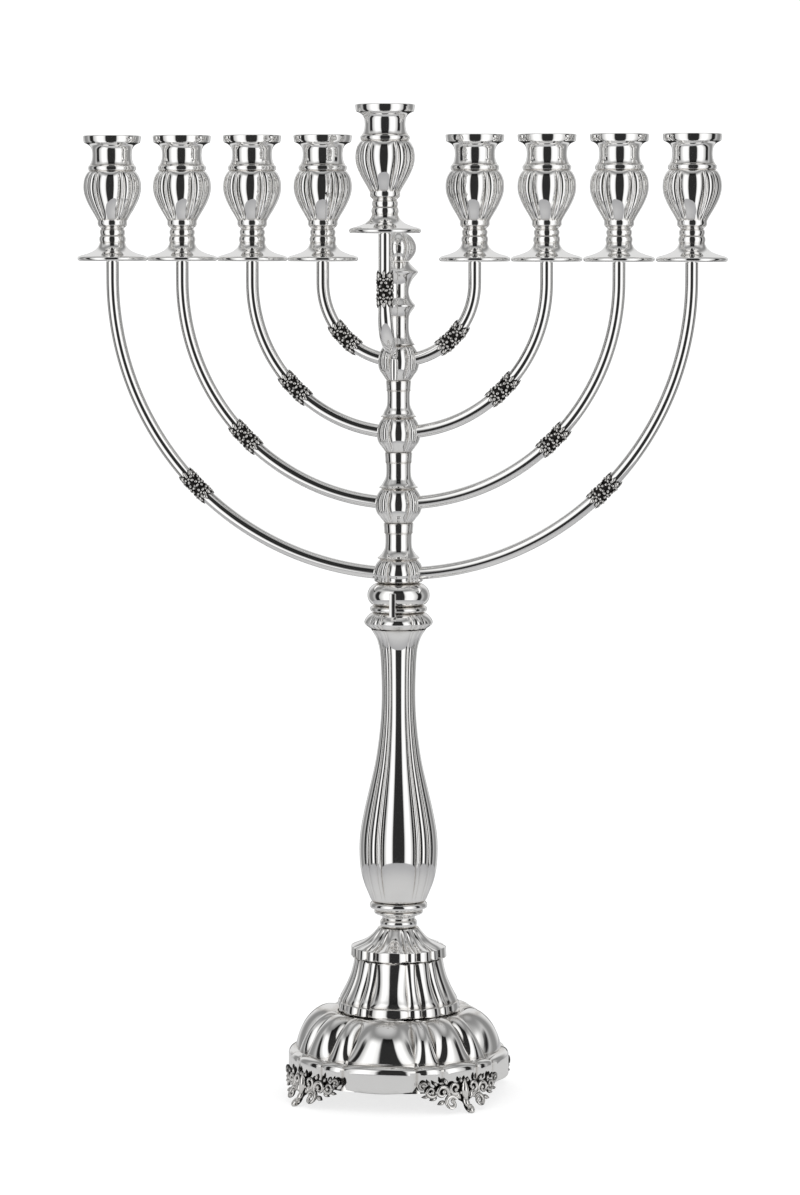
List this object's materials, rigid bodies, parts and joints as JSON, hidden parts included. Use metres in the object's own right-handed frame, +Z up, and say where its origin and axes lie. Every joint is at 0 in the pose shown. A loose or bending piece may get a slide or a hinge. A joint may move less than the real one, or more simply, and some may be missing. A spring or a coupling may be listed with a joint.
{
  "type": "candelabrum",
  "caption": "Branched silver candelabrum with curved arms, screw-on candle cups, a lift-off branch head and front arm, a fluted vase stem and a lobed footed base.",
  "frame": {"origin": "centre of the base at the level the feet stand on", "axes": "+Z up the stem; the arms spread along X; the front, with the ninth arm, faces -Y"},
  "size_m": [0.3972, 0.135, 0.6],
  "materials": {
    "polished_silver": "mirror polished silver plate",
    "oxidised_silver": "cast silver, oxidised dark in the hollows and rubbed bright on the high points",
    "plain_steel": "plain turned steel"
  },
  "bodies": {
    "stem": {"base_dome": "polished_silver", "foot_1": "oxidised_silver", "foot_2": "oxidised_silver", "foot_3": "oxidised_silver", "foot_4": "oxidised_silver", "base_bell": "polished_silver", "base_cap": "polished_silver", "neck_ring": "polished_silver", "vase_ring": "polished_silver", "base_washer": "plain_steel", "base_nut": "plain_steel", "tie_rod": "plain_steel", "stem_vase": "polished_silver", "stem_top_collar": "polished_silver", "head_ring": "polished_silver"},
    "branch_head": {"head_rod": "plain_steel", "cushion_knop": "polished_silver", "front_key": "polished_silver", "knop_1": "polished_silver", "knop_2": "polished_silver", "knop_3": "polished_silver", "knop_4": "polished_silver", "neck_tube_1": "polished_silver", "neck_tube_2": "polished_silver", "neck_tube_3": "polished_silver", "spindle": "polished_silver", "finial": "polished_silver", "shamash_socket": "polished_silver", "arm_right_1": "polished_silver", "sleeve_right_1": "oxidised_silver", "arm_right_2": "polished_silver", "sleeve_right_2": "oxidised_silver", "arm_right_3": "polished_silver", "sleeve_right_3": "oxidised_silver", "arm_right_4": "polished_silver", "sleeve_right_4": "oxidised_silver", "arm_left_1": "polished_silver", "sleeve_left_1": "oxidised_silver", "arm_left_2": "polished_silver", "sleeve_left_2": "oxidised_silver", "arm_left_3": "polished_silver", "sleeve_left_3": "oxidised_silver", "arm_left_4": "polished_silver", "sleeve_left_4": "oxidised_silver"},
    "shamash": {"shamash_arm": "polished_silver", "shamash_sleeve": "oxidised_silver"},
    "cup_right_1": {"cup_right_1": "polished_silver"},
    "cup_right_2": {"cup_right_2": "polished_silver"},
    "cup_right_3": {"cup_right_3": "polished_silver"},
    "cup_right_4": {"cup_right_4": "polished_silver"},
    "cup_left_1": {"cup_left_1": "polished_silver"},
    "cup_left_2": {"cup_left_2": "polished_silver"},
    "cup_left_3": {"cup_left_3": "polished_silver"},
    "cup_left_4": {"cup_left_4": "polished_silver"},
    "cup_shamash": {"cup_shamash": "polished_silver"}
  },
  "joints": [
    {"name": "branch_head_lift", "type": "slide", "parent": "stem", "child": "branch_head", "axis": [0, 0, 1], "range_m": [0, 0.045]},
    {"name": "shamash_lift", "type": "slide", "parent": "branch_head", "child": "shamash", "axis": [0, 0, 1], "range_m": [0, 0.02]},
    {"name": "cup_right_1_turn", "type": "hinge", "parent": "branch_head", "child": "cup_right_1", "pos_m": [0.1773, 0, 0.507], "axis": [0, 0, 1], "range_deg": [0, 360]},
    {"name": "cup_right_2_turn", "type": "hinge", "parent": "branch_head", "child": "cup_right_2", "pos_m": [0.1337, 0, 0.507], "axis": [0, 0, 1], "range_deg": [0, 360]},
    {"name": "cup_right_3_turn", "type": "hinge", "parent": "branch_head", "child": "cup_right_3", "pos_m": [0.0901, 0, 0.507], "axis": [0, 0, 1], "range_deg": [0, 360]},
    {"name": "cup_right_4_turn", "type": "hinge", "parent": "branch_head", "child": "cup_right_4", "pos_m": [0.0465, 0, 0.507], "axis": [0, 0, 1], "range_deg": [0, 360]},
    {"name": "cup_left_1_turn", "type": "hinge", "parent": "branch_head", "child": "cup_left_1", "pos_m": [-0.1773, 0, 0.507], "axis": [0, 0, 1], "range_deg": [0, 360]},
    {"name": "cup_left_2_turn", "type": "hinge", "parent": "branch_head", "child": "cup_left_2", "pos_m": [-0.1337, 0, 0.507], "axis": [0, 0, 1], "range_deg": [0, 360]},
    {"name": "cup_left_3_turn", "type": "hinge", "parent": "branch_head", "child": "cup_left_3", "pos_m": [-0.0901, 0, 0.507], "axis": [0, 0, 1], "range_deg": [0, 360]},
    {"name": "cup_left_4_turn", "type": "hinge", "parent": "branch_head", "child": "cup_left_4", "pos_m": [-0.0465, 0, 0.507], "axis": [0, 0, 1], "range_deg": [0, 360]},
    {"name": "cup_shamash_turn", "type": "hinge", "parent": "shamash", "child": "cup_shamash", "pos_m": [0, -0.0437, 0.524], "axis": [0, 0, 1], "range_deg": [0, 360]}
  ]
}
